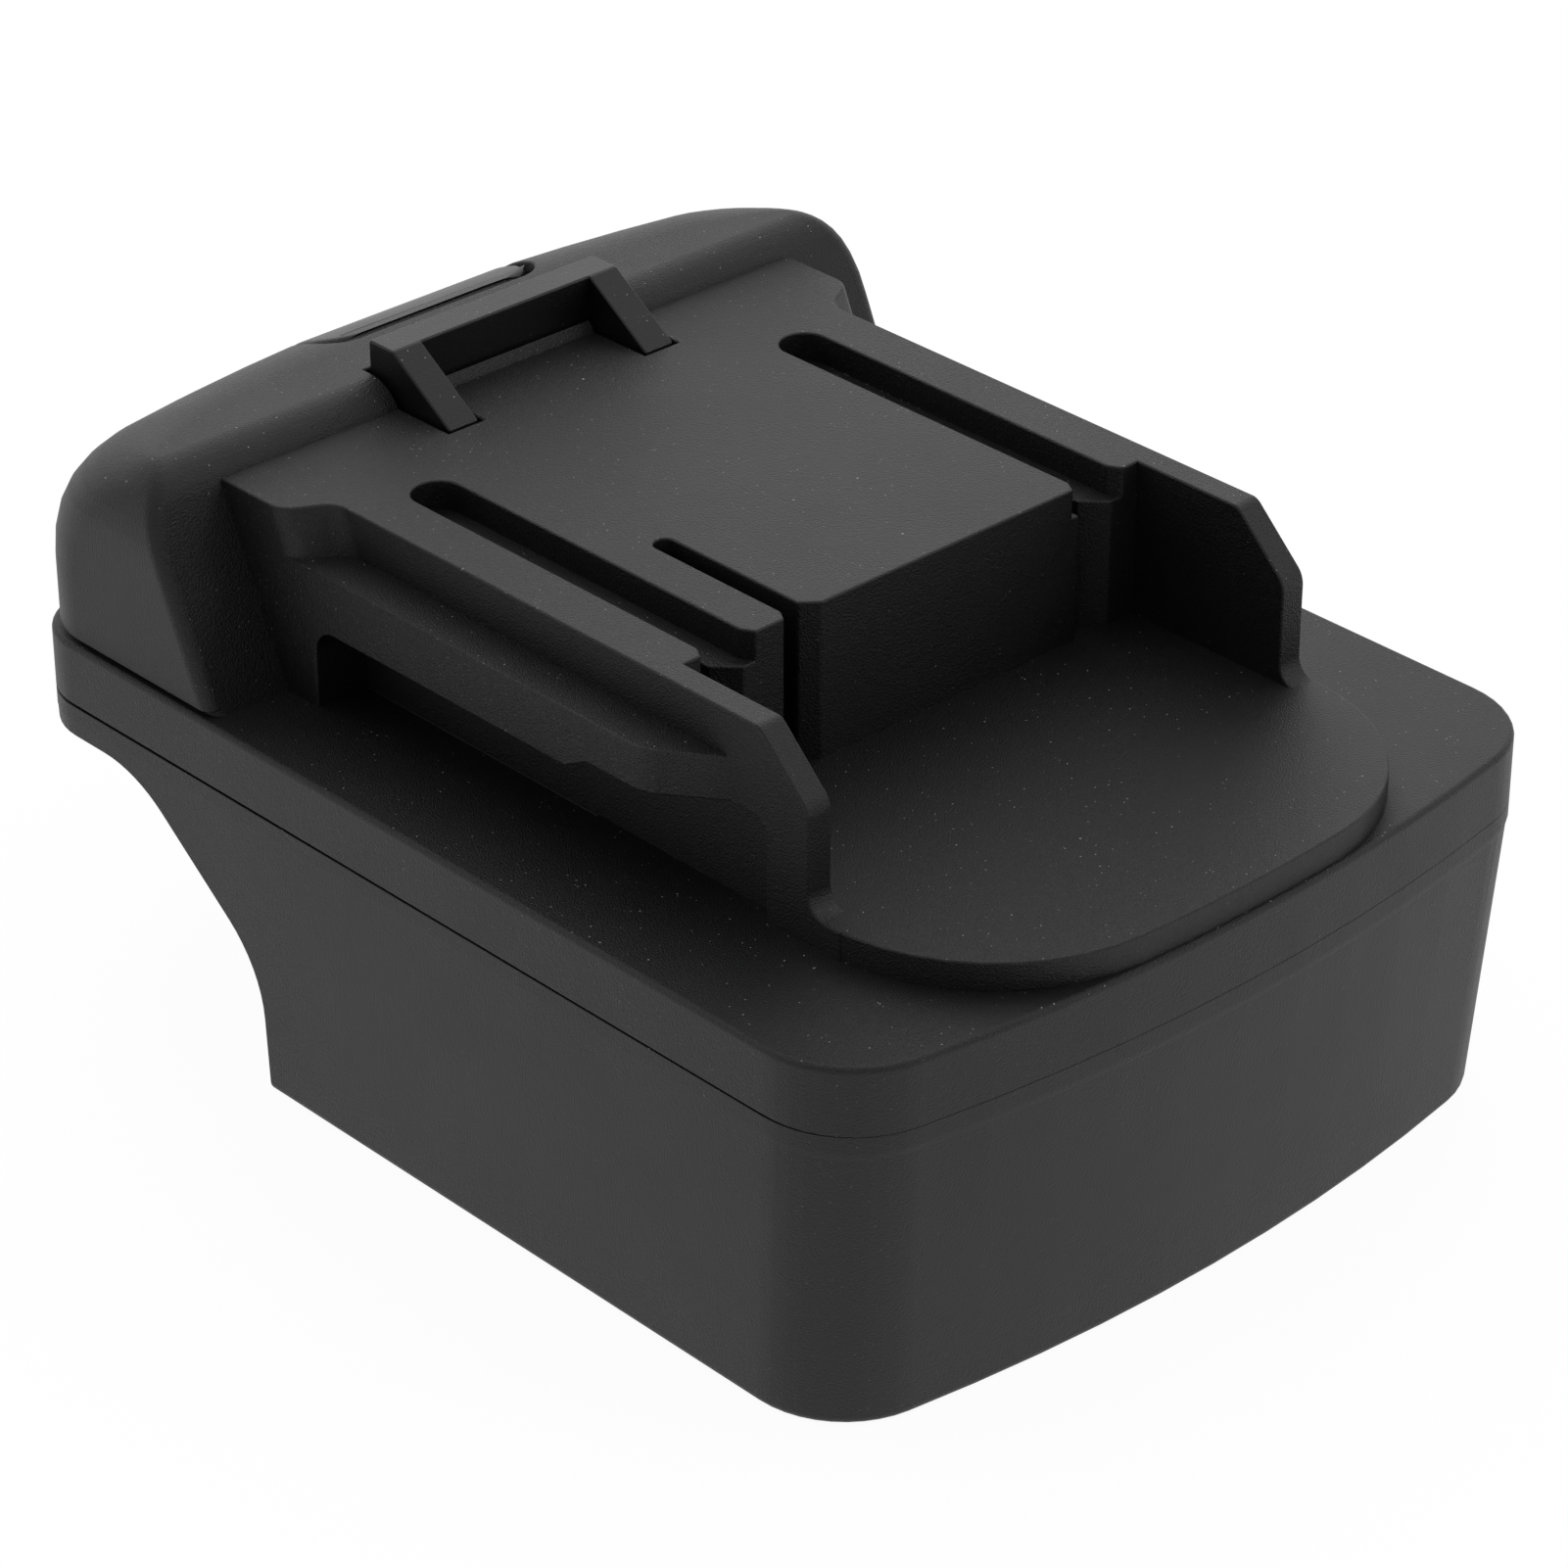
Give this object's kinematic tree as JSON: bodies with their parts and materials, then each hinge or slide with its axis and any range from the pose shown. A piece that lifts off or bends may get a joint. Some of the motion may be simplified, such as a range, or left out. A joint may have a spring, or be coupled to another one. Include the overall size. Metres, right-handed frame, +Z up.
{
  "type": "tool battery adapter",
  "caption": "Black moulded battery adapter: dock below for one slide-in battery, slide rails with contact slots and a sprung release hook above for a cordless tool.",
  "frame": {"origin": "on the base plane under the middle of the body", "axes": "+X across to the right, +Y along the body from the bowed front to the hump with the button, +Z up"},
  "size_m": [0.076, 0.1018, 0.0524],
  "materials": {
    "case_plastic": "fine moulded grain",
    "latch_plastic": "smooth satin",
    "inner_plastic": "smooth",
    "spring_steel": "drawn wire",
    "screw_steel": "zinc plated",
    "contact_brass": "stamped sheet",
    "blade_nickel": "nickel plated",
    "can_aluminium": "drawn can",
    "board_green": "solder mask",
    "chip_black": "moulded epoxy",
    "lead_red": "extruded",
    "lead_blue": "extruded",
    "lead_white": "extruded"
  },
  "bodies": {
    "housing": {"lower_case": "case_plastic", "upper_case": "case_plastic", "slide_cover": "case_plastic", "latch_spring_left": "spring_steel", "latch_spring_right": "spring_steel", "output_terminal_positive": "contact_brass", "output_terminal_negative": "contact_brass", "signal_terminal": "contact_brass", "terminal_carrier": "inner_plastic", "carrier_screws": "screw_steel", "circuit_board": "board_green", "control_chip": "chip_black", "power_transistors": "chip_black", "board_resistors": "chip_black", "board_capacitor": "can_aluminium", "board_screws": "screw_steel", "input_terminal_block": "inner_plastic", "input_blade_positive": "blade_nickel", "input_blade_negative": "blade_nickel", "input_blade_signal": "blade_nickel", "block_screws": "screw_steel", "positive_lead": "lead_red", "negative_lead": "lead_blue", "signal_lead": "lead_white", "cover_screws": "screw_steel", "case_screws": "screw_steel"},
    "latch": {"release_latch": "latch_plastic"}
  },
  "joints": [
    {"name": "latch_press", "type": "slide", "parent": "housing", "child": "latch", "axis": [0, 0, -1], "range_m": [0, 0.005], "stiffness_N_per_m": 800, "springref_m": -0.004, "deforming": ["latch_spring_left", "latch_spring_right"]}
  ]
}
